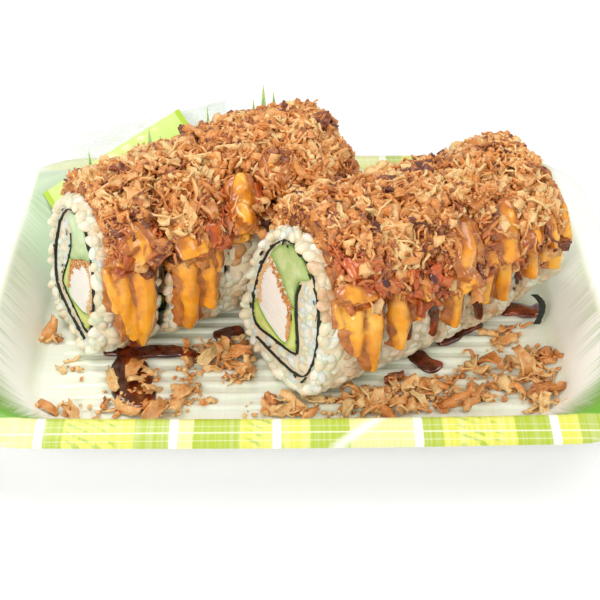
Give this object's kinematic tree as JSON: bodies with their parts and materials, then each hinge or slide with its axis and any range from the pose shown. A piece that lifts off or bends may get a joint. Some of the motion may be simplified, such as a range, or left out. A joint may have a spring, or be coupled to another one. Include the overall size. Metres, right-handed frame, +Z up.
{
  "type": "uramaki roll tray",
  "caption": "Cut inside-out rice rolls with chicken, avocado and cucumber under crispy onions and sauce, in a rimmed foam tray with plastic grass, a sachet and clear film.",
  "frame": {"origin": "middle of the tray's underside", "axes": "+X along the tray's long side to the right, +Y to the back of the tray, +Z up"},
  "size_m": [0.204, 0.149, 0.0617],
  "materials": {
    "tray": "foam tray with a smooth printed skin, satin",
    "rice": "cooked sushi rice, moist, stained with sauce",
    "nori": "roasted seaweed sheet, soft and dull",
    "chicken": "breaded chicken, moist white meat with a browned coat",
    "avocado": "ripe avocado, smooth and moist",
    "cucumber": "fresh cucumber, wet",
    "onions": "crispy fried onion flakes, dry and a little oily",
    "grass": "thin green plastic film, glossy",
    "sachet": "printed lime foil sachet, satin",
    "film": "clear thin plastic film"
  },
  "bodies": {
    "root": {"tray": "tray", "a1_rice": "rice", "a1_nori": "nori", "a1_chicken": "chicken", "a1_avocado": "avocado", "a1_cucumber": "cucumber", "a2_rice": "rice", "a2_nori": "nori", "a2_chicken": "chicken", "a2_avocado": "avocado", "a2_cucumber": "cucumber", "a3_rice": "rice", "a3_nori": "nori", "a3_chicken": "chicken", "a3_avocado": "avocado", "a3_cucumber": "cucumber", "a4_rice": "rice", "a4_nori": "nori", "a4_chicken": "chicken", "a4_avocado": "avocado", "a4_cucumber": "cucumber", "a5_rice": "rice", "a5_nori": "nori", "a5_chicken": "chicken", "a5_avocado": "avocado", "a5_cucumber": "cucumber", "b1_rice": "rice", "b1_nori": "nori", "b1_chicken": "chicken", "b1_avocado": "avocado", "b1_cucumber": "cucumber", "b2_rice": "rice", "b2_nori": "nori", "b2_chicken": "chicken", "b2_avocado": "avocado", "b2_cucumber": "cucumber", "b3_rice": "rice", "b3_nori": "nori", "b3_chicken": "chicken", "b3_avocado": "avocado", "b3_cucumber": "cucumber", "b4_rice": "rice", "b4_nori": "nori", "b4_chicken": "chicken", "b4_avocado": "avocado", "b4_cucumber": "cucumber", "b5_rice": "rice", "b5_nori": "nori", "b5_chicken": "chicken", "b5_avocado": "avocado", "b5_cucumber": "cucumber", "onions_a": "onions", "onions_b": "onions", "grass": "grass", "sachet": "sachet", "film": "film", "nori_scrap": "nori"}
  },
  "joints": []
}
